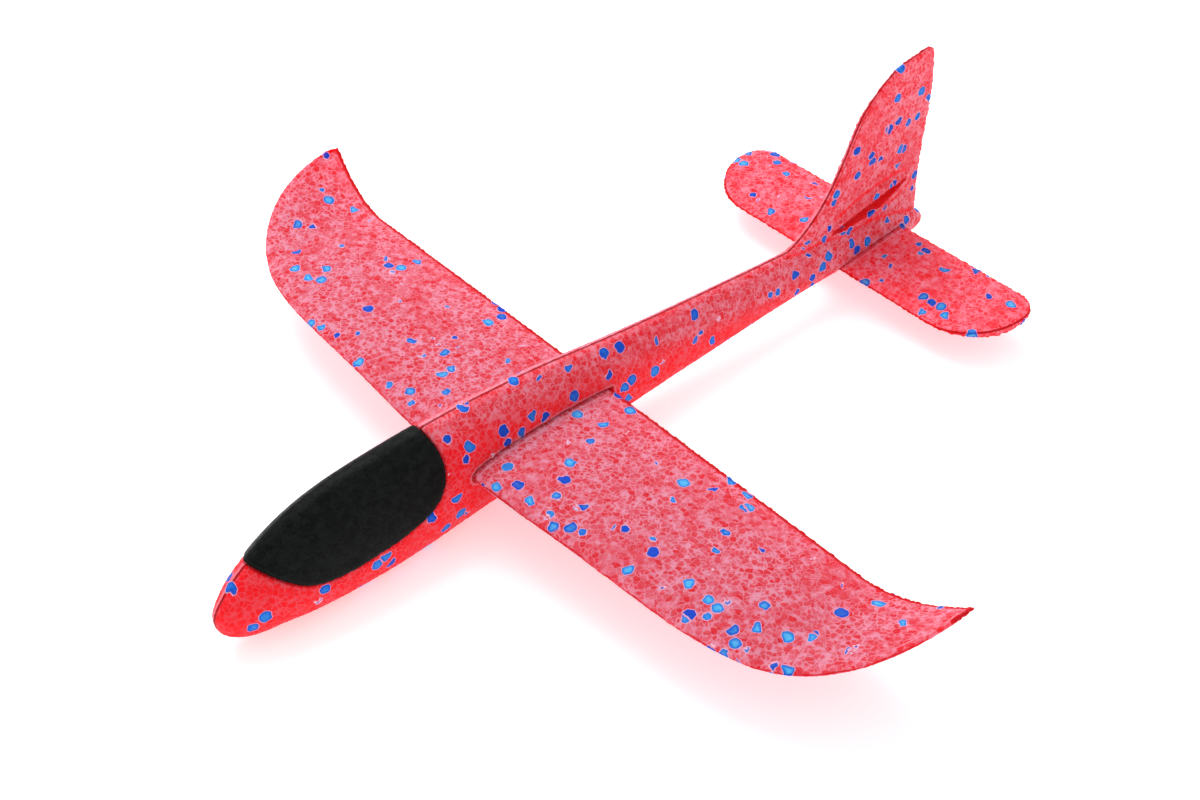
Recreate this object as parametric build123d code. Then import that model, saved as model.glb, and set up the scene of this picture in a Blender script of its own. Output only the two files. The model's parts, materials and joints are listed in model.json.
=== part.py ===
from build123d import *
import os
from math import cos, pi, radians, sin

# Hand-launched foam glider, in millimetres.  X is the span (+X is the aircraft's left wing),
# Y runs along the fuselage (nose towards -Y) and Z is up, with Z = 0 at the lowest point of the
# belly and Y = 0 half way between the nose and the end of the tail.

# ---- driving dimensions ---------------------------------------------------------------------
half_length = 241.0          # the nose and the tail end lie this far from the origin

# fuselage stations, closest together at the two ends: (y, half width, lowest z, widest z, highest z)
body_stations = [
    (-220.0, 14.0, 5.2, 22.0, 46.0),
    (-200.0, 17.6, 3.1, 23.7, 57.3),
    (-180.0, 19.5, 1.2, 25.4, 63.4),
    (-160.0, 20.3, 0.4, 26.8, 66.0),
    (-140.0, 20.3, 0.2, 28.2, 67.1),
    (-120.0, 19.8, 1.2, 29.4, 67.8),
    (-100.0, 19.0, 2.5, 30.2, 67.7),
    (-60.0, 17.0, 5.4, 30.5, 65.3),
    (-20.0, 14.8, 9.0, 29.0, 60.4),
    (20.0, 13.0, 11.6, 27.5, 55.5),
    (60.0, 11.7, 13.4, 27.0, 51.8),
    (100.0, 10.5, 15.1, 26.9, 48.3),
    (140.0, 9.4, 16.2, 25.8, 45.2),
    (180.0, 8.9, 15.1, 24.0, 41.4),
    (220.0, 7.5, 12.4, 20.0, 33.5),
]
nose_stations = [
    body_stations[0],
    (-227.0, 12.3, 6.2, 21.4, 40.6),
    (-233.0, 9.6, 8.2, 20.9, 34.9),
    (-237.5, 6.6, 11.2, 20.6, 29.7),
    (-240.2, 3.8, 14.8, 20.5, 25.6),
    (-half_length, 2.0, 18.0, 20.5, 23.2),
]
tail_stations = [
    body_stations[-1],
    (227.0, 6.8, 11.8, 19.2, 30.4),
    (233.0, 5.7, 11.7, 18.4, 26.9),
    (237.5, 4.4, 12.5, 17.8, 23.6),
    (240.2, 2.9, 14.2, 17.3, 20.8),
    (half_length, 1.7, 15.4, 17.0, 18.9),
]
canopy_body_stations, canopy_nose_stations = 8, 3        # how many of each the canopy lies on
upper_fullness = 1.75        # superellipse exponents: 2 is an ellipse, more is squarer
lower_fullness = 2.3
points_per_quarter = 6

# wing
half_span = 240.0
wing_z = 34.0                # flat underside of the wing at its root
wing_le_root, wing_te_root = -104.5, -11.0
wing_le_sweep = 0.06         # how far the leading edge runs back for each mm of span
tip_round_start, tip_round_depth, tip_round_power = 130.0, 93.0, 2.6
tip_round_limit = 0.996      # keeps the outline from running square to the tip
te_sweep_start, te_sweep_depth, te_sweep_power = 185.0, 9.0, 1.5
tip_lift_start, tip_lift = 188.0, 19.2
wing_root_x = 18.0           # the part inside the fuselage has one section
wing_thickness, wing_te_thickness = 0.085, 0.034      # shares of the chord
least_thickness, least_te_thickness = 3.6, 2.6
nose_height = 0.42           # share of the thickness at which the leading edge lies
toe_at, crest_at, rear_pull_at = 0.10, 0.33, 0.66     # shares of the chord, from the leading edge
panel_stations = [18.0, 75.0, 130.0, 160.0, 188.0]
tip_stations = [188.0, 199.0, 209.0, 218.0, 225.5, 231.5, 236.0, 238.7, 240.0]

# tailplane, and the second slot above it
tail_half_span = 108.0
tail_chord, tail_thickness, tail_edge_thickness = 54.7, 5.0, 1.6
tail_y, tail_z, tail_pitch = 191.6, 21.5, 4.0         # its centre and slope
tail_le_radius, tail_te_radius = 37.0, 16.0
upper_slot_y, upper_slot_z, upper_slot_pitch = 190.0, 49.5, 9.6
upper_slot_length, upper_slot_height, upper_slot_edge = 60.0, 6.2, 1.0
fairing_size = (6.6, 40.0, 11.5)                      # semi-axes of the swelling round it
slot_clearance = 0.25
slot_reach = 40.0            # the cutters run this far to each side of the centre plane

# fin
fin_half_thickness, fin_tip_half_thickness = 3.2, 1.7
fin_root_z, fin_top_z = 28.0, 134.0       # the lower edge is inside the fuselage
fin_foot, fin_tip, fin_corner, fin_heel = (122, 44), (226, 133.2), (235.6, 128), (233, 28)
fin_leading = [(136, 49.5), (149, 59), (161, 74), (172, 94), (184, 114.5), (200, 127)]
fin_trailing = [(235.6, 95), (232.6, 60)]
fin_cap = (233.4, 132.4)
fin_foot_slope, fin_tip_slope = 0.2, 0.12

# canopy, the recess it sits in, and the ballast under it
canopy_depth = 5.0
canopy_gap = 0.15
canopy_proud = 0.7
canopy_edge = [(-226, 50), (-212, 39), (-199, 29.5), (-182, 26.3), (-155, 28), (-135, 31.8),
               (-123, 39.5), (-118, 51), (-118.5, 62), (-124, 74)]
canopy_top_z = 85.0
canopy_middle, canopy_half_depth = (-172, 70), 44.0      # the gap is left by shrinking about this
ballast_length, ballast_radius = 24.5, 4.0     # steel, to balance at a third of the chord
ballast_y, ballast_z = -190.0, 24.0
ballast_gap = 0.1


def as_part(solid):
    """A solid in the form that the boolean operators keep whole."""
    return Part() + solid


# ---- fuselage body --------------------------------------------------------------------------
def fuselage_wire(y, half_width, low, wide, high):
    """Section of the fuselage as four quarters, each a superellipse with its own fullness."""
    def quarter(side, top):
        power = 2 / (upper_fullness if top else lower_fullness)
        reach = high - wide if top else low - wide
        angles = [pi / 2 * step / (points_per_quarter - 1) for step in range(points_per_quarter)]
        points = [Vector(side * half_width * abs(cos(a)) ** power, y, wide + reach * sin(a) ** power)
                  for a in angles]
        upright, level = Vector(0, 0, 1 if top else -1), Vector(-side, 0, 0)
        return Edge.make_spline(points, tangents=[upright, level])
    return Wire([quarter(1, True), quarter(-1, True), quarter(-1, False), quarter(1, False)])


def fuselage_length(stations, grow=0.0):
    return as_part(Solid.make_loft([
        fuselage_wire(y, half_width + grow, low - grow, wide, high + grow)
        for y, half_width, low, wide, high in stations]))


def canopy_length(grow):
    """The front of the fuselage, grown or shrunk, as far as the canopy needs it."""
    return (fuselage_length(body_stations[:canopy_body_stations], grow)
            + fuselage_length(nose_stations[:canopy_nose_stations], grow))


# ---- wing -----------------------------------------------------------------------------------
def wing_section(x, clearance=0.0):
    """Airfoil with a flat underside, in the plane X = x."""
    out = min(abs(x), half_span)
    rounding = max(0.0, (out - tip_round_start) / (half_span - tip_round_start))
    rounding = min(rounding, tip_round_limit) ** tip_round_power
    le = (wing_le_root + wing_le_sweep * (out - wing_root_x)
          + tip_round_depth * (1 - (1 - rounding) ** (1 / tip_round_power)))
    swept = max(0.0, (out - te_sweep_start) / (half_span - te_sweep_start))
    te = wing_te_root + te_sweep_depth * swept ** te_sweep_power
    raised = max(0.0, (out - tip_lift_start) / (half_span - tip_lift_start))
    base = wing_z + tip_lift * raised ** 2
    chord = te - le
    top = base + max(least_thickness, wing_thickness * chord) + clearance
    te_top = base + max(least_te_thickness, wing_te_thickness * chord) + clearance
    base, le, te = base - clearance, le - clearance, te + clearance
    nose = Vector(x, le, base + nose_height * (top - base))
    crest = Vector(x, le + crest_at * chord, top)
    back = Vector(x, te, te_top)
    heel = Vector(x, te, base)
    toe = Vector(x, le + toe_at * chord, base)
    return Wire([Edge.make_bezier(nose, Vector(x, le, top), crest),
                 Edge.make_bezier(crest, Vector(x, le + rear_pull_at * chord, top), back),
                 Edge.make_line(back, heel), Edge.make_line(heel, toe),
                 Edge.make_bezier(toe, Vector(x, le, base), nose)])


def wing_solid():
    centre = Solid.extrude(Face(wing_section(-wing_root_x)), Vector(2 * wing_root_x, 0, 0))
    panel = Solid.make_loft([wing_section(x) for x in panel_stations])
    tip = Solid.make_loft([wing_section(x) for x in tip_stations])
    half = as_part(panel) + as_part(tip)
    return as_part(centre) + half + half.mirror(Plane.YZ)


# ---- tailplane ------------------------------------------------------------------------------
def lens(length, height, edge_height):
    """Biconvex outline round the origin, length along the first axis."""
    a, h, e = length / 2, height / 2, edge_height / 2
    return Wire([Edge.make_three_point_arc((-a, e, 0), (0, h, 0), (a, e, 0)),
                 Edge.make_line((a, e, 0), (a, -e, 0)),
                 Edge.make_three_point_arc((a, -e, 0), (0, -h, 0), (-a, -e, 0)),
                 Edge.make_line((-a, -e, 0), (-a, e, 0))])


def across(wire, y, z, pitch, reach):
    """A bar with the given section, lying along X through (y, z) and raised at its rear."""
    plane = Plane(origin=(-reach, y, z), x_dir=(0, cos(radians(pitch)), sin(radians(pitch))),
                  z_dir=(1, 0, 0))
    return Solid.extrude(Face(plane.from_local_coords(wire)), Vector(2 * reach, 0, 0))


def tailplane_solid():
    bar = across(lens(tail_chord, tail_thickness, tail_edge_thickness), tail_y, tail_z, tail_pitch,
                 tail_half_span)
    half_chord = tail_chord / 2
    plan = Solid.make_box(2 * tail_half_span, tail_chord, tail_chord,
                          Plane((-tail_half_span, tail_y - half_chord, tail_z - half_chord)))
    upright = plan.edges().filter_by(Axis.Z)
    plan = plan.fillet(tail_le_radius, upright.sort_by(Axis.Y)[:2])
    upright = plan.edges().filter_by(Axis.Z)
    plan = plan.fillet(tail_te_radius, upright.sort_by(Axis.Y)[-2:])
    return as_part(bar) & as_part(plan)


# ---- fin ------------------------------------------------------------------------------------
def fin_solid():
    foot, tip, cap, corner, heel = [Vector(0, *p) for p in (fin_foot, fin_tip, fin_cap, fin_corner,
                                                            fin_heel)]
    root = Vector(0, foot.Y, fin_root_z)
    leading = Edge.make_spline([foot] + [Vector(0, *p) for p in fin_leading] + [tip],
                               tangents=[(0, 1, fin_foot_slope), (0, 1, fin_tip_slope)])
    trailing = Edge.make_spline([corner] + [Vector(0, *p) for p in fin_trailing] + [heel])
    face = Face(Wire([leading, Edge.make_three_point_arc(tip, cap, corner), trailing,
                      Edge.make_line(heel, root), Edge.make_line(root, foot)]))
    blade = Solid.extrude(face, Vector(2 * fin_half_thickness, 0, 0)).moved(
        Location((-fin_half_thickness, 0, 0)))
    low, high = fin_half_thickness, fin_tip_half_thickness
    wedge = Wire.make_polygon([Vector(-low, 0, root.Z), Vector(low, 0, root.Z),
                               Vector(high, 0, fin_top_z), Vector(-high, 0, fin_top_z)])
    return as_part(blade) & as_part(Solid.extrude(Face(wedge), Vector(0, 2 * half_length, 0)))


# ---- canopy ---------------------------------------------------------------------------------
def canopy_block(inset):
    """Everything above the canopy's lower edge, as a block right across the fuselage."""
    mid_y, mid_z = canopy_middle
    shrink = 1 - inset / canopy_half_depth
    edge = [Vector(0, mid_y + (y - mid_y) * shrink, mid_z + (z - mid_z) * shrink)
            for y, z in canopy_edge]
    top_front, top_rear = Vector(0, edge[0].Y, canopy_top_z), Vector(0, edge[-1].Y, canopy_top_z)
    outline = Wire([Edge.make_spline(edge), Edge.make_line(edge[-1], top_rear),
                    Edge.make_line(top_rear, top_front), Edge.make_line(top_front, edge[0])])
    block = Solid.extrude(Face(outline), Vector(2 * slot_reach, 0, 0))
    return block.moved(Location((-slot_reach, 0, 0)))


# ---- assembly -------------------------------------------------------------------------------
def ballast_bar(gap=0.0):
    start = (0, ballast_y - ballast_length / 2 - gap, ballast_z)
    return as_part(Solid.make_cylinder(ballast_radius + gap, ballast_length + 2 * gap,
                                       Plane(start, z_dir=(0, 1, 0))))


def ballast_pocket():
    """The bar's bed, open upwards so that the bar can be laid in before the canopy goes on."""
    half_width, half_run = ballast_radius + ballast_gap, ballast_length / 2 + ballast_gap
    corner = Plane((-half_width, ballast_y - half_run, ballast_z))
    return ballast_bar(ballast_gap) + Solid.make_box(2 * half_width, 2 * half_run, half_length,
                                                     corner)


def wing_slot():
    root = Face(wing_section(wing_root_x, slot_clearance))
    root = root.moved(Location((-slot_reach - wing_root_x, 0, 0)))
    return as_part(Solid.extrude(root, Vector(2 * slot_reach, 0, 0)))


def tail_slot():
    section = lens(tail_chord + 2 * slot_clearance, tail_thickness + 2 * slot_clearance,
                   tail_edge_thickness + 2 * slot_clearance)
    return as_part(across(section, tail_y, tail_z, tail_pitch, slot_reach))


def upper_slot():
    section = lens(upper_slot_length, upper_slot_height, upper_slot_edge)
    return as_part(across(section, upper_slot_y, upper_slot_z, upper_slot_pitch, slot_reach))


def fairing_solid():
    ball = scale(Solid.make_sphere(1.0, angle1=-90, angle2=90, angle3=360), by=fairing_size)
    return as_part(ball.moved(Location((0, upper_slot_y, upper_slot_z), (upper_slot_pitch, 0, 0))))


def fuselage_solid():
    body = fuselage_length(body_stations) + fuselage_length(nose_stations)
    body = body + fuselage_length(tail_stations) + fin_solid() + fairing_solid()
    recess = as_part(canopy_block(0)) - canopy_length(-canopy_depth)
    return body - wing_slot() - tail_slot() - upper_slot() - recess - ballast_pocket()


def canopy_solid():
    skin = canopy_length(canopy_proud) & as_part(canopy_block(canopy_gap))
    return skin - canopy_length(canopy_gap - canopy_depth)


os.makedirs("parts", exist_ok=True)
for node, solid in (("fuselage", fuselage_solid()), ("wing", wing_solid()),
                    ("tailplane", tailplane_solid()), ("canopy", canopy_solid()),
                    ("nose_weight", ballast_bar())):
    export_step(solid, f"parts/{node}.step")
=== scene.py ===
import json
import math

import bmesh
import bpy
from mathutils import Matrix, Vector
from mathutils.bvhtree import BVHTree
from mathutils.kdtree import KDTree

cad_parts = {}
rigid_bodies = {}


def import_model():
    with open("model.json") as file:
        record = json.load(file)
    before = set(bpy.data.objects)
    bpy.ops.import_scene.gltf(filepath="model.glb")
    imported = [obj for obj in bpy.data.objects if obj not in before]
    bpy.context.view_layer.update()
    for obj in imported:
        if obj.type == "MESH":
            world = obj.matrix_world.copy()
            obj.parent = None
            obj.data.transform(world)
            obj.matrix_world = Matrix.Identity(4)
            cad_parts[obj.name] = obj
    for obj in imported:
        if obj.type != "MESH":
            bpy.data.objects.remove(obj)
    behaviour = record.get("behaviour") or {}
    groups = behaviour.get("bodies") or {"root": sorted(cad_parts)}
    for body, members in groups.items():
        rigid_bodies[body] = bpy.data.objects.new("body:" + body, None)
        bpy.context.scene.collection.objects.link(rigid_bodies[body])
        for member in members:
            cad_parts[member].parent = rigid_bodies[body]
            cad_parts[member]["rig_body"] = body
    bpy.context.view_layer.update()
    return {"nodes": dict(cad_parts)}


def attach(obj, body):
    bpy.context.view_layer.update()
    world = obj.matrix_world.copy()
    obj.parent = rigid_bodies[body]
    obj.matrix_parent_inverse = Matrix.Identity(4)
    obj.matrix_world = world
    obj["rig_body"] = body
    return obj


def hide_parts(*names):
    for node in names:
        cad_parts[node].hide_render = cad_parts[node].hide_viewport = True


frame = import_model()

scene = bpy.context.scene
MM = 0.001

# ---- sizes (metres) ----
VOXEL = {"fuselage": 1.0 * MM, "wing": 0.97 * MM, "tailplane": 0.75 * MM, "canopy": 0.7 * MM}
ROUNDING = {"fuselage": 2, "wing": 3, "tailplane": 5, "canopy": 5}      # smoothing steps
RELIEF_SHARE = {"fuselage": 1.0, "wing": 1.0, "tailplane": 1.0, "canopy": 0.35}
BEAD = 3.0 * MM              # width of an ordinary foam bead at the surface
BLUE_BEAD = 6.3 * MM
BLUE_RADIUS = 0.57           # of a cell; rounds the blue beads' corners off
WARP = 1.3 * MM
WARP_SCALE = 420.0
RELIEF = 0.20 * MM           # depth of the creases between beads
EDGE_RELIEF = 0.34 * MM      # more of it along the thin edges, which gives them their scallops
TOP_SLOPE = 0.15             # the painted shade of deep red low on the flanks ends lower by this much per unit of length towards the tail
MARKS = ("seam", "edge", "recess", "crease", "lip")      # distances stored on each foam mesh
SEAM_REACH = 6.0             # millimetres over which joints and edges are marked
SHARP = math.radians(35)     # edges bent more than this are marked
WELD = 0.001 * MM
SAMPLE_STEP = 0.5 * MM       # spacing of the points that stand for an edge or a line
LIP_BIN = 6 * MM             # width of the strips in which the foremost point is looked for
SLOT_WALL, SLOT_END = 0.7 * MM, 1 * MM       # how far round the upper slot its walls are marked
SLOT_AT, SLOT_PITCH = (190.0 * MM, 49.5 * MM), math.radians(9.6)         # the upper tail slot
SLOT_LENGTH, SLOT_HEIGHT = 60.0 * MM, 6.2 * MM

# ---- marks on the foam: where each fades in or out ----
# in millimetres from a joint, an edge, a crease or the mould line
JOINT_SHADE = (0.2, 0.7)                         # dark joint between two pieces, with painted shade in the crevice
JOINT_HIGHLIGHT_IN, JOINT_HIGHLIGHT_OUT = (0.9, 1.5), (1.9, 2.7)       # painted highlight: a pale line beside it
# painted shade along rolled edges: how far it fades, and where its darkest line at the edge ends
ROLL_FADE = 0.5
EDGE_LINE = 0.5
# painted shade in inward creases
CREASE_SHADE = (0.4, 1.8)
LIP_LINE = (0.35, 0.95)
LIP_PALE_IN, LIP_PALE_OUT = (0.5, 1.1), (3.0, 4.0)
EDGE_REACH = (0.5, 3.0)                      # where the relief is deeper
# in metres
PARTING_LINE = (0.35 * MM, 0.85 * MM)
# painted highlight in a pale strip beside the parting line
PARTING_HIGHLIGHT_IN, PARTING_HIGHLIGHT_OUT = (-2.8 * MM, -2.2 * MM), (-1.1 * MM, -0.6 * MM)
# height over which the painted shade low on the flanks fades in
DEEP_FADE = 18 * MM

# ---- bead pattern: scales of the noises, and the values between which each colour comes in ----
PATCH_SCALE, STREAK_SCALE, GRAIN_SCALE = 30.0, 240.0, 1500.0
DARK_TO_MID, MID_TO_LIGHT = (0.10, 0.60), (0.45, 1.0)
RIM_STREAK, RIM_PATCH = (0.38, 0.72), (0.15, 0.60)
RIM_WIDTH, RIM_LEAST_WIDTH = 0.36, 0.07
WISP_STREAK, HOLLOW_STREAK = (0.50, 0.72), (0.30, 0.44)
SPECK_GRAIN = (0.54, 0.74)
CREASE_BUMP, CREASE_RELIEF = (0.0, 0.22), (0.0, 0.30)
# among these: the share of painted shade low on the flanks and in the upper slot, of pale rims within the
# deep red, and of the painted highlight and the dark line at the parting line
HOLLOW_SHARE, PAINTED_SHADE_SHARE, RIM_IN_DEEP, PARTING_HIGHLIGHT, PARTING_DARK = 0.6, 0.90, 0.8, 0.5, 0.9
PARTING_DEPTH = 1.5

# ---- blue beads: distances in cells from a bead's rim ----
BLUE_RING, BLUE_INSIDE, BLUE_MIDDLE = (0.01, 0.04), (0.045, 0.080), (0.10, 0.34)
BLUE_TONE, BLUE_MIDDLE_TONE = (0.1, 0.9), (0.0, 0.6)
MIDDLE_SHARE, BLUE_SPECK, BLUE_DARK, RING_SHARE = 0.75, 0.30, 0.8, 0.65

# ---- surface ----
BUMP_DEPTH, FUZZ_DEPTH, FUZZ = 0.22 * MM, 0.08 * MM, 0.5
ROUGHNESS_SPREAD = 0.16
SCRATCH_DEPTH = 0.03 * MM    # on the steel
GLOW_RADIUS, GLOW_SCALE = (1.0, 0.12, 0.15), 8 * MM


# ---- node helpers ----
class Tree:
    """Small wrapper that keeps node graphs short to write."""

    def __init__(self, tree):
        self.tree = tree

    def add(self, kind, inputs=None, **settings):
        node = self.tree.nodes.new(kind)
        for key, value in settings.items():
            setattr(node, key, value)
        for key, value in (inputs or {}).items():
            self.put(node.inputs[key], value)
        return node

    def put(self, socket, value):
        if isinstance(value, bpy.types.NodeSocket):
            self.tree.links.new(value, socket)
        else:
            socket.default_value = value

    def math(self, op, a, b=0.0, clamp=False):
        node = self.add("ShaderNodeMath", operation=op, use_clamp=clamp)
        self.put(node.inputs[0], a)
        self.put(node.inputs[1], b)
        return node.outputs[0]

    def smooth(self, value, low, high):
        node = self.add("ShaderNodeMapRange", interpolation_type="SMOOTHSTEP")
        for key, v in (("Value", value), ("From Min", low), ("From Max", high)):
            self.put(node.inputs[key], v)
        return node.outputs["Result"]

    def fall(self, value, low, high):
        """1 below low, 0 above high."""
        return self.math("SUBTRACT", 1.0, self.smooth(value, low, high))

    def times(self, a, b):
        return self.math("MULTIPLY", a, b)

    def mix(self, factor, a, b):
        node = self.add("ShaderNodeMix", data_type="RGBA")
        self.put(node.inputs["Factor"], factor)
        self.put(node.inputs[6], a)
        self.put(node.inputs[7], b)
        return node.outputs[2]


def warped(t, coords):
    """Coordinates with a slight swirl, so that bead outlines aren't ruled straight."""
    noise = t.add("ShaderNodeTexNoise", {"Vector": coords, "Scale": WARP_SCALE, "Detail": 1.0})
    shift = t.add("ShaderNodeVectorMath", operation="SUBTRACT")
    t.put(shift.inputs[0], noise.outputs["Color"])
    shift.inputs[1].default_value = (0.5, 0.5, 0.5)
    scaled = t.add("ShaderNodeVectorMath", operation="SCALE")
    t.put(scaled.inputs[0], shift.outputs[0])
    scaled.inputs["Scale"].default_value = WARP
    total = t.add("ShaderNodeVectorMath", operation="ADD")
    t.put(total.inputs[0], coords)
    t.put(total.inputs[1], scaled.outputs[0])
    return total.outputs[0]


def bead_cells(t, bent, size, feature):
    return t.add("ShaderNodeTexVoronoi", {"Vector": bent, "Scale": 1 / size, "Randomness": 1.0},
                 feature=feature, voronoi_dimensions="3D")


def bead_pattern(t, palette, tone, creases, patch, streak, speck):
    """Colour of the ordinary beads, and the share of pale rim between them."""
    body = t.mix(t.smooth(tone.outputs[0], *DARK_TO_MID), palette["dark_cell"], palette["mid"])
    body = t.mix(t.smooth(tone.outputs[1], *MID_TO_LIGHT), body, palette["light"])
    width = t.times(t.smooth(streak, *RIM_STREAK), RIM_WIDTH)
    pale = t.fall(creases, 0.0, t.math("ADD", width, RIM_LEAST_WIDTH))
    pale = t.times(pale, t.smooth(patch, *RIM_PATCH))
    colour = t.mix(t.times(pale, palette["rim_strength"]), body, palette["rim"])
    wisp = t.times(t.smooth(streak, *WISP_STREAK), palette["wisp"])
    colour = t.mix(wisp, colour, palette["rim"])
    hollow = t.times(t.fall(streak, *HOLLOW_STREAK), HOLLOW_SHARE)
    colour = t.mix(hollow, colour, palette["dark_cell"])
    colour = t.mix(t.times(speck, palette["speck_strength"]), colour, palette["rim"])
    return colour, pale


def deep_tone_and_painted_shade(t, palette, colour, pale, place, recess, crease):
    """Painted shade: deeper red low on the flanks, in inward creases and inside the upper slot; also an
    even deeper tone over the whole piece.
    """
    height_up = t.math("ADD", place.outputs[2], t.times(place.outputs[1], TOP_SLOPE))
    # painted shade: deeper red low on the flanks, ending lower towards the tail
    low = t.fall(height_up, palette["shade_below"] - DEEP_FADE, palette["shade_below"])
    # painted shade in inward creases
    crease_shade = t.times(t.fall(crease, *CREASE_SHADE), palette["crease_shade"])
    # painted shade low and inside the upper slot, never less than the even deeper tone of the piece
    shade_and_tone = t.math("ADD", t.times(low, PAINTED_SHADE_SHARE), t.times(recess, PAINTED_SHADE_SHARE), clamp=True)
    shade_and_tone = t.math("MAXIMUM", shade_and_tone, crease_shade)
    shade_and_tone = t.math("MAXIMUM", shade_and_tone, palette["base_deep"])
    deep = t.mix(t.times(pale, RIM_IN_DEEP), palette["deep"], palette["deep_line"])
    # inside the upper slot the painted shade takes its own darker red
    return t.mix(shade_and_tone, colour, t.mix(recess, deep, palette["slot_shade"]))


def joints_and_edges(t, palette, colour, seam, edge, lip, parting):
    """Dark joints with painted shade in them and a painted highlight beside them, painted shade on rolled
    edges, and mould lines, the parting line with a painted highlight beside it and the leading edge line
    with a pale strip; also the share of dark, which is painted shade and dark lines.
    """
    # painted highlight: a pale line beside the joint
    joint_highlight = t.times(t.smooth(seam, *JOINT_HIGHLIGHT_IN), t.fall(seam, *JOINT_HIGHLIGHT_OUT))
    colour = t.mix(t.times(joint_highlight, palette["joint_highlight"]), colour, palette["rim"])
    # dark joint with painted shade in the crevice
    joint_shade = t.times(t.fall(seam, *JOINT_SHADE), palette["joint_shade"])
    # painted shade on rolled edges
    rolled = t.fall(edge, palette["roll"] - ROLL_FADE, palette["roll"] + ROLL_FADE)
    dark = t.math("MAXIMUM", joint_shade, rolled)
    if parting:
        # painted highlight beside the parting line
        colour = t.mix(t.times(parting["pale"], PARTING_HIGHLIGHT), colour, palette["rim"])
    under_lip = t.math("MULTIPLY", lip, -1.0)
    beyond = t.times(t.smooth(under_lip, *LIP_PALE_IN), t.fall(under_lip, *LIP_PALE_OUT))
    colour = t.mix(t.times(beyond, palette["lip_pale"]), colour, palette["rim"])
    lip_line = t.fall(t.math("ABSOLUTE", lip), *LIP_LINE)
    dark = t.math("MAXIMUM", dark, t.times(lip_line, palette["lip_dark"]))
    colour = t.mix(dark, colour, palette["dark"])
    # darkest painted shade in a line right at the edge
    outer = t.fall(edge, EDGE_LINE, palette["roll"])
    colour = t.mix(t.times(outer, palette["outer"]), colour, palette["dark_edge"])
    if parting:
        colour = t.mix(t.times(parting["line"], PARTING_DARK), colour, palette["dark_edge"])
    return colour, dark


def parting_marks(t, x):
    """The mould's parting line on the centre plane, and the pale strip beside it, a painted highlight."""
    return {"line": t.fall(t.math("ABSOLUTE", x), *PARTING_LINE),
            "pale": t.times(t.smooth(x, *PARTING_HIGHLIGHT_IN), t.fall(x, *PARTING_HIGHLIGHT_OUT))}


def blue_beads(t, palette, colour, bent, speck, dark):
    coarse = bead_cells(t, bent, BLUE_BEAD, "F1")
    gaps = bead_cells(t, bent, BLUE_BEAD, "DISTANCE_TO_EDGE")
    pick = t.add("ShaderNodeSeparateColor", {"Color": coarse.outputs["Color"]})
    chosen = t.math("LESS_THAN", pick.outputs[0], palette["blue_share"])
    from_rim = t.math("SUBTRACT", BLUE_RADIUS, coarse.outputs["Distance"])
    from_rim = t.math("MINIMUM", from_rim, gaps.outputs["Distance"])
    inside = t.smooth(from_rim, *BLUE_INSIDE)
    ring = t.times(t.smooth(from_rim, *BLUE_RING), t.math("SUBTRACT", 1.0, inside))
    bead = t.mix(t.smooth(pick.outputs[1], *BLUE_TONE), palette["blue"], palette["cyan"])
    middle = t.times(t.smooth(from_rim, *BLUE_MIDDLE), t.smooth(pick.outputs[1], *BLUE_MIDDLE_TONE))
    bead = t.mix(t.times(middle, MIDDLE_SHARE), bead, palette["cyan_light"])
    bead = t.mix(t.times(speck, BLUE_SPECK), bead, palette["blue"])
    # painted shade and dark lines darken the blue beads too
    bead = t.mix(t.times(dark, BLUE_DARK), bead, palette["blue"])
    colour = t.mix(t.times(t.times(chosen, ring), RING_SHARE), colour, palette["blue_rim"])
    return t.mix(t.times(chosen, inside), colour, bead)


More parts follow.
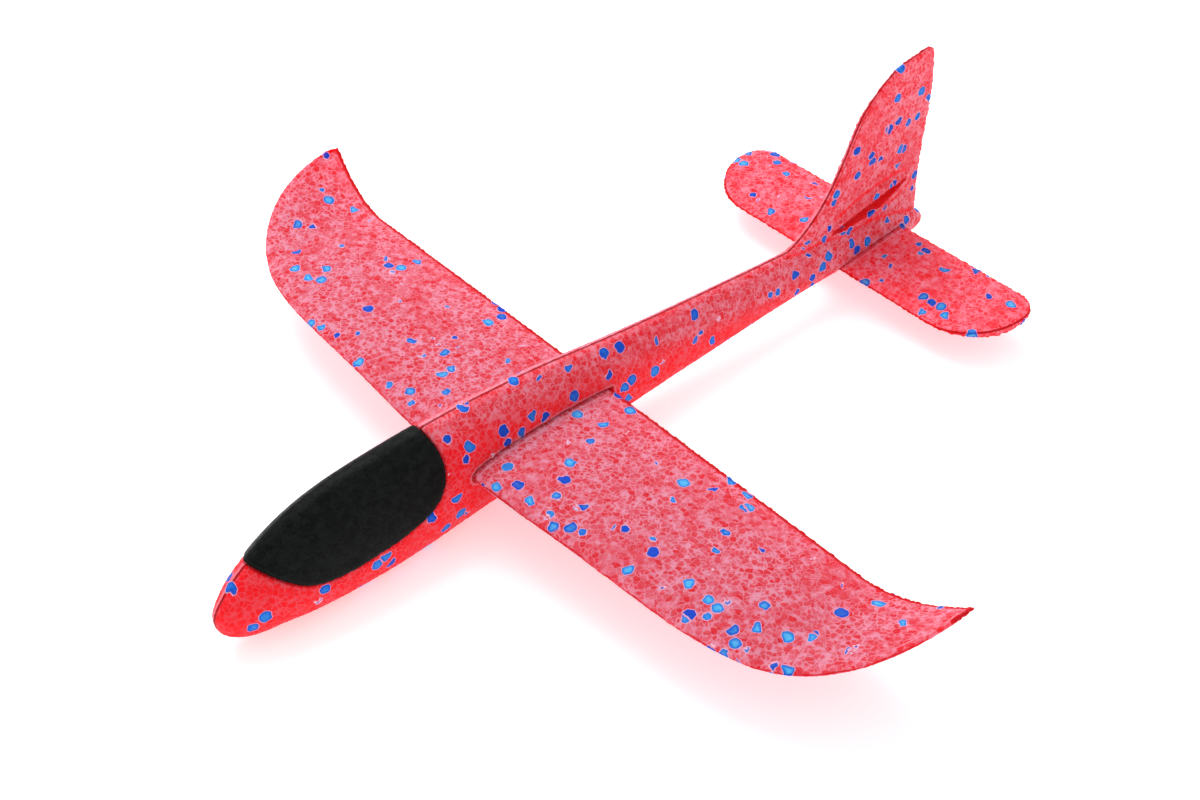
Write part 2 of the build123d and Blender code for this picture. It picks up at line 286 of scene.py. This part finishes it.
def foam_material(name, palette, blue=True):
    material = bpy.data.materials.new(name)
    material.use_nodes = True
    tree = material.node_tree
    tree.nodes.clear()
    t = Tree(tree)
    coords = t.add("ShaderNodeTexCoord").outputs["Object"]
    bent = warped(t, coords)
    seam, edge, recess, crease, lip = (
        t.add("ShaderNodeAttribute", attribute_name=mark_name).outputs["Fac"] for mark_name in MARKS)

    fine = bead_cells(t, bent, BEAD, "F1")
    creases = bead_cells(t, bent, BEAD, "DISTANCE_TO_EDGE").outputs["Distance"]
    tone = t.add("ShaderNodeSeparateColor", {"Color": fine.outputs["Color"]})
    patch = t.add("ShaderNodeTexNoise", {"Vector": coords, "Scale": PATCH_SCALE, "Detail": 3.0,
                                         "Roughness": 0.6}).outputs["Fac"]
    grain = t.add("ShaderNodeTexNoise", {"Vector": coords, "Scale": GRAIN_SCALE,
                                         "Detail": 2.0}).outputs["Fac"]
    streak = t.add("ShaderNodeTexNoise", {"Vector": coords, "Scale": STREAK_SCALE, "Detail": 3.0,
                                          "Roughness": 0.65}).outputs["Fac"]
    speck = t.smooth(grain, *SPECK_GRAIN)
    place = t.add("ShaderNodeSeparateXYZ", {"Vector": coords})

    colour, pale = bead_pattern(t, palette, tone, creases, patch, streak, speck)
    colour = deep_tone_and_painted_shade(t, palette, colour, pale, place, recess, crease)
    parting = parting_marks(t, place.outputs[0]) if palette.get("parting") else None
    colour, dark = joints_and_edges(t, palette, colour, seam, edge, lip, parting)
    if blue:
        colour = blue_beads(t, palette, colour, bent, speck, dark)

    height = t.smooth(creases, *CREASE_BUMP)
    if parting:
        height = t.math("SUBTRACT", height, t.times(parting["line"], PARTING_DEPTH))
    bump = t.add("ShaderNodeBump", {"Height": height, "Distance": BUMP_DEPTH, "Strength": palette["bump"]})
    fuzz = t.add("ShaderNodeBump", {"Height": grain, "Distance": FUZZ_DEPTH, "Strength": FUZZ,
                                    "Normal": bump.outputs[0]})
    rough = t.math("ADD", t.times(tone.outputs[2], ROUGHNESS_SPREAD), palette["roughness"])
    shader = t.add("ShaderNodeBsdfPrincipled", {"Base Color": colour, "Roughness": rough,
                                                "Normal": fuzz.outputs[0]})
    shader.inputs["Specular IOR Level"].default_value = palette["specular"]
    if palette["glow"]:
        shader.inputs["Subsurface Weight"].default_value = palette["glow"]
        shader.inputs["Subsurface Radius"].default_value = GLOW_RADIUS
        shader.inputs["Subsurface Scale"].default_value = GLOW_SCALE
    out = t.add("ShaderNodeOutputMaterial")
    tree.links.new(shader.outputs[0], out.inputs[0])
    return material


# the palettes also hold the colours and shares of the painted shade (low on the flanks, in creases, inside
# the upper slot, at joints and on rolled edges) and of the painted highlight beside joints
RED = dict(deep=(0.88, 0.005, 0.010, 1), dark_cell=(0.74, 0.016, 0.028, 1), mid=(0.74, 0.052, 0.076, 1),
           light=(0.75, 0.11, 0.16, 1), rim=(0.77, 0.33, 0.45, 1), rim_strength=0.62, wisp=0.55,
           speck_strength=0.22, shade_below=-1.0,
           blue=(0.006, 0.06, 0.52, 1), cyan=(0.02, 0.20, 0.66, 1), cyan_light=(0.12, 0.54, 0.82, 1),
           blue_rim=(0.80, 0.66, 0.84, 1), dark=(0.50, 0.002, 0.006, 1), joint_shade=0.2, joint_highlight=0.4,
           deep_line=(0.82, 0.065, 0.09, 1), base_deep=0.22, bump=0.5, outer=0.4,
           dark_edge=(0.26, 0.001, 0.004, 1), roll=1.2, lip_pale=0.0, lip_dark=0.5,
           slot_shade=(0.74, 0.002, 0.004, 1), crease_shade=0.8,
           roughness=0.55, specular=0.10, glow=0.85, blue_share=0.19)
RED_WING = dict(RED, roll=2.8, outer=0.7, base_deep=0.0, lip_pale=0.65, lip_dark=0.9,
                dark_cell=(0.61, 0.016, 0.028, 1), mid=(0.62, 0.052, 0.076, 1),
                light=(0.63, 0.11, 0.16, 1), rim=(0.68, 0.33, 0.45, 1), blue_share=0.13)
RED_MOULDED = dict(RED, parting=True, roll=0.6, outer=0.2, base_deep=0.15, shade_below=54 * MM,
                   dark_cell=(0.68, 0.016, 0.028, 1), mid=(0.69, 0.050, 0.070, 1),
                   light=(0.70, 0.10, 0.14, 1), rim=(0.74, 0.32, 0.42, 1),
                   cyan=(0.012, 0.12, 0.60, 1), cyan_light=(0.03, 0.27, 0.74, 1), blue_share=0.16)
BLACK = dict(deep=(0.0015, 0.002, 0.002, 1), dark_cell=(0.0015, 0.002, 0.002, 1),
             mid=(0.0025, 0.003, 0.003, 1), light=(0.005, 0.006, 0.006, 1), rim=(0.014, 0.016, 0.015, 1),
             rim_strength=0.2, wisp=0.25, speck_strength=0.6, shade_below=-1.0,
             deep_line=(0, 0, 0, 1), base_deep=0.0, bump=0.2, outer=0.5,
             dark=(0.001, 0.001, 0.001, 1), joint_shade=0.9, joint_highlight=0.3,
             dark_edge=(0.001, 0.001, 0.001, 1), roll=0.8, lip_pale=0.0, lip_dark=0.0,
             slot_shade=(0, 0, 0, 1), crease_shade=0,
             roughness=0.45, specular=0.07, glow=0)


# ---- geometry ----
def relief_group(share):
    """Presses the creases between the beads into the surface; never pushes it outwards."""
    group = bpy.data.node_groups.new("bead_relief", "GeometryNodeTree")
    group.interface.new_socket("Geometry", in_out="INPUT", socket_type="NodeSocketGeometry")
    group.interface.new_socket("Geometry", in_out="OUTPUT", socket_type="NodeSocketGeometry")
    t = Tree(group)
    start, end = t.add("NodeGroupInput"), t.add("NodeGroupOutput")
    bent = warped(t, t.add("GeometryNodeInputPosition").outputs[0])
    creases = bead_cells(t, bent, BEAD, "DISTANCE_TO_EDGE")
    depth = t.math("SUBTRACT", t.smooth(creases.outputs["Distance"], *CREASE_RELIEF), 1.0)
    edge = t.add("GeometryNodeInputNamedAttribute", {"Name": "edge"}, data_type="FLOAT").outputs[0]
    by_edge = t.fall(edge, *EDGE_REACH)
    reach = t.math("ADD", t.math("MULTIPLY", by_edge, EDGE_RELIEF * share), RELIEF * share)
    offset = t.add("ShaderNodeVectorMath", operation="SCALE")
    t.put(offset.inputs[0], t.add("GeometryNodeInputNormal").outputs[0])
    t.put(offset.inputs["Scale"], t.math("MULTIPLY", depth, reach))
    moved = t.add("GeometryNodeSetPosition", {"Geometry": start.outputs[0], "Offset": offset.outputs[0]})
    group.links.new(moved.outputs[0], end.inputs[0])
    return group


def clean_cad(node):
    """The CAD mesh of a node, welded, as a bmesh."""
    bm = bmesh.new()
    bm.from_mesh(frame["nodes"][node].data)
    bmesh.ops.remove_doubles(bm, verts=bm.verts, dist=WELD)
    return bm


def lookup_along(lines):
    """A lookup of closely spaced points along straight lines, each given by its two ends."""
    points = []
    for start, end in lines:
        count = max(1, int((end - start).length / SAMPLE_STEP))
        points += [start.lerp(end, i / count) for i in range(count + 1)]
    lookup = KDTree(len(points))
    for i, point in enumerate(points):
        lookup.insert(point, i)
    lookup.balance()
    return lookup


def sharp_edges(bm, outward):
    """Lookup of the outward (or else the inward) sharp edges of a mesh."""
    lines = []
    for line in bm.edges:
        if len(line.link_faces) != 2:
            continue
        angle = line.calc_face_angle_signed(0.0)
        if (angle if outward else -angle) > SHARP:
            lines.append((line.verts[0].co, line.verts[1].co))
    return lookup_along(lines)


def leading_edge(bm):
    """Lookup of the foremost line of a piece, where the two mould halves met."""
    front = {}
    for vertex in bm.verts:
        key = round(vertex.co.x / LIP_BIN)
        if key not in front or vertex.co.y < front[key].y:
            front[key] = vertex.co
    line = [front[key] for key in sorted(front)]
    return lookup_along(zip(line, line[1:]))


def signed_millimetres(lookup, point):
    """Distance to the line, negative below it."""
    nearest, _, distance = lookup.find(point)
    reach = min(distance / MM, SEAM_REACH)
    return -reach if point.z < nearest.z else reach


def millimetres_to(lookup, point):
    distance = lookup.find(point)[2]
    return SEAM_REACH if distance is None else min(distance / MM, SEAM_REACH)


def mark(mesh, name, values):
    layer = mesh.attributes.new(name, "FLOAT", "POINT")
    layer.data.foreach_set("value", values)


def evaluated_mesh(obj):
    """The object's mesh with its modifiers applied; the modifiers are taken off."""
    bpy.context.view_layer.update()
    deps = bpy.context.evaluated_depsgraph_get()
    mesh = bpy.data.meshes.new_from_object(obj.evaluated_get(deps), depsgraph=deps)
    obj.modifiers.clear()
    obj.data = mesh
    return mesh


def in_upper_slot(point):
    """1 on the walls of the empty tail slot, where shade is painted, 0 elsewhere."""
    along = (point.y - SLOT_AT[0]) * math.cos(SLOT_PITCH) + (point.z - SLOT_AT[1]) * math.sin(SLOT_PITCH)
    above = (point.z - SLOT_AT[1]) * math.cos(SLOT_PITCH) - (point.y - SLOT_AT[0]) * math.sin(SLOT_PITCH)
    half_height = SLOT_HEIGHT / 2 * (1 - (2 * along / SLOT_LENGTH) ** 2) + SLOT_WALL
    return float(abs(along) < SLOT_LENGTH / 2 + SLOT_END and abs(above) < half_height)


def foam_piece(node, material, neighbours):
    """Rounded, closed foam mesh that takes the place of a CAD node."""
    source = frame["nodes"][node]
    obj = bpy.data.objects.new(node + "_foam", source.data.copy())
    scene.collection.objects.link(obj)
    weld = obj.modifiers.new("weld", "WELD")
    weld.merge_threshold = WELD
    remesh = obj.modifiers.new("remesh", "REMESH")
    remesh.mode, remesh.voxel_size = "VOXEL", VOXEL[node]
    smooth = obj.modifiers.new("smooth", "SMOOTH")
    smooth.factor, smooth.iterations = 0.5, ROUNDING[node]
    mesh = evaluated_mesh(obj)

    others = [BVHTree.FromBMesh(cad[other]) for other in neighbours]
    edges, creases = sharp_edges(cad[node], True), sharp_edges(cad[node], False)
    front = leading_edge(cad[node]) if node in ("wing", "tailplane") else None
    marks = {name: [] for name in MARKS}
    for vertex in mesh.vertices:
        found = [tree.find_nearest(vertex.co, SEAM_REACH * MM)[3] for tree in others]
        marks["seam"].append(min([d / MM for d in found if d is not None] + [SEAM_REACH]))
        marks["edge"].append(millimetres_to(edges, vertex.co))
        marks["crease"].append(millimetres_to(creases, vertex.co))
        marks["recess"].append(in_upper_slot(vertex.co) if node == "fuselage" else 0.0)
        marks["lip"].append(signed_millimetres(front, vertex.co) if front else SEAM_REACH)
    for name, values in marks.items():
        mark(mesh, name, values)
    relief = obj.modifiers.new("relief", "NODES")
    relief.node_group = relief_group(RELIEF_SHARE[node])
    mesh = evaluated_mesh(obj)
    mesh.materials.clear()
    mesh.materials.append(material)
    mesh.polygons.foreach_set("use_smooth", [True] * len(mesh.polygons))
    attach(obj, source["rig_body"])
    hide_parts(node)
    return obj


red = foam_material("red_bead_foam", RED)
red_wing = foam_material("red_bead_foam_wing", RED_WING)
red_moulded = foam_material("red_bead_foam_moulded", RED_MOULDED)
black = foam_material("black_bead_foam", BLACK, blue=False)
cad = {node: clean_cad(node) for node in ("fuselage", "wing", "tailplane", "canopy")}
for node, mat, slot, neighbours in (
        ("fuselage", red_moulded, "red_foam", ("wing", "tailplane")),
        ("wing", red_wing, "red_foam", ("fuselage",)),
        ("tailplane", red, "red_foam", ("fuselage",)),
        ("canopy", black, "black_foam", ("fuselage",))):
    piece = foam_piece(node, mat, neighbours)


def steel_material():
    material = bpy.data.materials.new("weight_steel")
    material.use_nodes = True
    t = Tree(material.node_tree)
    shader = material.node_tree.nodes["Principled BSDF"]
    coords = t.add("ShaderNodeTexCoord").outputs["Object"]
    drawn = t.add("ShaderNodeMapping", {"Vector": coords, "Scale": (1.0, 0.06, 1.0)})
    lines = t.add("ShaderNodeTexNoise", {"Vector": drawn.outputs[0], "Scale": 2600.0, "Detail": 2.0})
    stain = t.add("ShaderNodeTexNoise", {"Vector": coords, "Scale": 240.0, "Detail": 4.0})
    t.put(shader.inputs["Base Color"], t.mix(t.smooth(stain.outputs["Fac"], 0.45, 0.75),
                                             (0.52, 0.52, 0.54, 1), (0.30, 0.25, 0.22, 1)))
    t.put(shader.inputs["Roughness"], t.math("ADD", t.math("MULTIPLY", lines.outputs["Fac"], 0.3), 0.22))
    scratches = t.add("ShaderNodeBump", {"Height": lines.outputs["Fac"], "Distance": SCRATCH_DEPTH,
                                         "Strength": 0.5})
    t.put(shader.inputs["Normal"], scratches.outputs[0])
    shader.inputs["Metallic"].default_value = 1.0
    return material


weight = frame["nodes"]["nose_weight"]
weight.data.materials.clear()
weight.data.materials.append(steel_material())

# ---- stage ----
FLOOR_SIZE, FLOOR_GLOW, WORLD_LIGHT = 60, 0.40, 0.82
KEY_AT, KEY_SIZE, KEY_POWER = (-0.8, 0.25, 1.40), 1.1, 17

bpy.ops.mesh.primitive_plane_add(size=FLOOR_SIZE, location=(0, 0, 0))
floor = bpy.context.object
floor.name = "floor"
white = bpy.data.materials.new("floor_white")
white.use_nodes = True
paint = white.node_tree.nodes["Principled BSDF"]
paint.inputs["Base Color"].default_value = (0.93, 0.93, 0.93, 1)
paint.inputs["Roughness"].default_value = 0.9
paint.inputs["Emission Color"].default_value = (1, 1, 1, 1)
paint.inputs["Emission Strength"].default_value = FLOOR_GLOW
floor.data.materials.append(white)

world = bpy.data.worlds.new("studio")
scene.world = world
world.use_nodes = True
world.node_tree.nodes["Background"].inputs["Color"].default_value = (1, 1, 1, 1)
world.node_tree.nodes["Background"].inputs["Strength"].default_value = WORLD_LIGHT
scene.view_settings.view_transform = "Standard"


def area(name, location, target, size, power):
    light = bpy.data.lights.new(name, "AREA")
    light.shape, light.size, light.energy = "SQUARE", size, power
    obj = bpy.data.objects.new(name, light)
    scene.collection.objects.link(obj)
    obj.location = location
    obj.rotation_euler = (Vector(target) - Vector(location)).to_track_quat("-Z", "Y").to_euler()


area("key", KEY_AT, (0, 0, 0), KEY_SIZE, KEY_POWER)

# ---- camera ----
AZIMUTH, ELEVATION, ROLL = math.radians(49.595), math.radians(41.666), math.radians(-1.0146)
DISTANCE, LENS, SENSOR = 0.88273, 52.458, 36.0
TARGET = Vector((0.01548, -0.02155, 0.037))
cam_data = bpy.data.cameras.new("camera")
cam_data.sensor_width, cam_data.lens = SENSOR, LENS
camera = bpy.data.objects.new("camera", cam_data)
scene.collection.objects.link(camera)
back = Vector((math.sin(AZIMUTH) * math.cos(ELEVATION), -math.cos(AZIMUTH) * math.cos(ELEVATION),
               math.sin(ELEVATION)))
level = Vector((math.cos(AZIMUTH), math.sin(AZIMUTH), 0))
upright = back.cross(level)
right = level * math.cos(ROLL) + upright * math.sin(ROLL)
up = upright * math.cos(ROLL) - level * math.sin(ROLL)
turn = Matrix((right, up, back)).transposed().to_4x4()
camera.matrix_world = Matrix.Translation(TARGET + back * DISTANCE) @ turn
cam_data.clip_start, cam_data.clip_end = 0.01, 50
scene.camera = camera
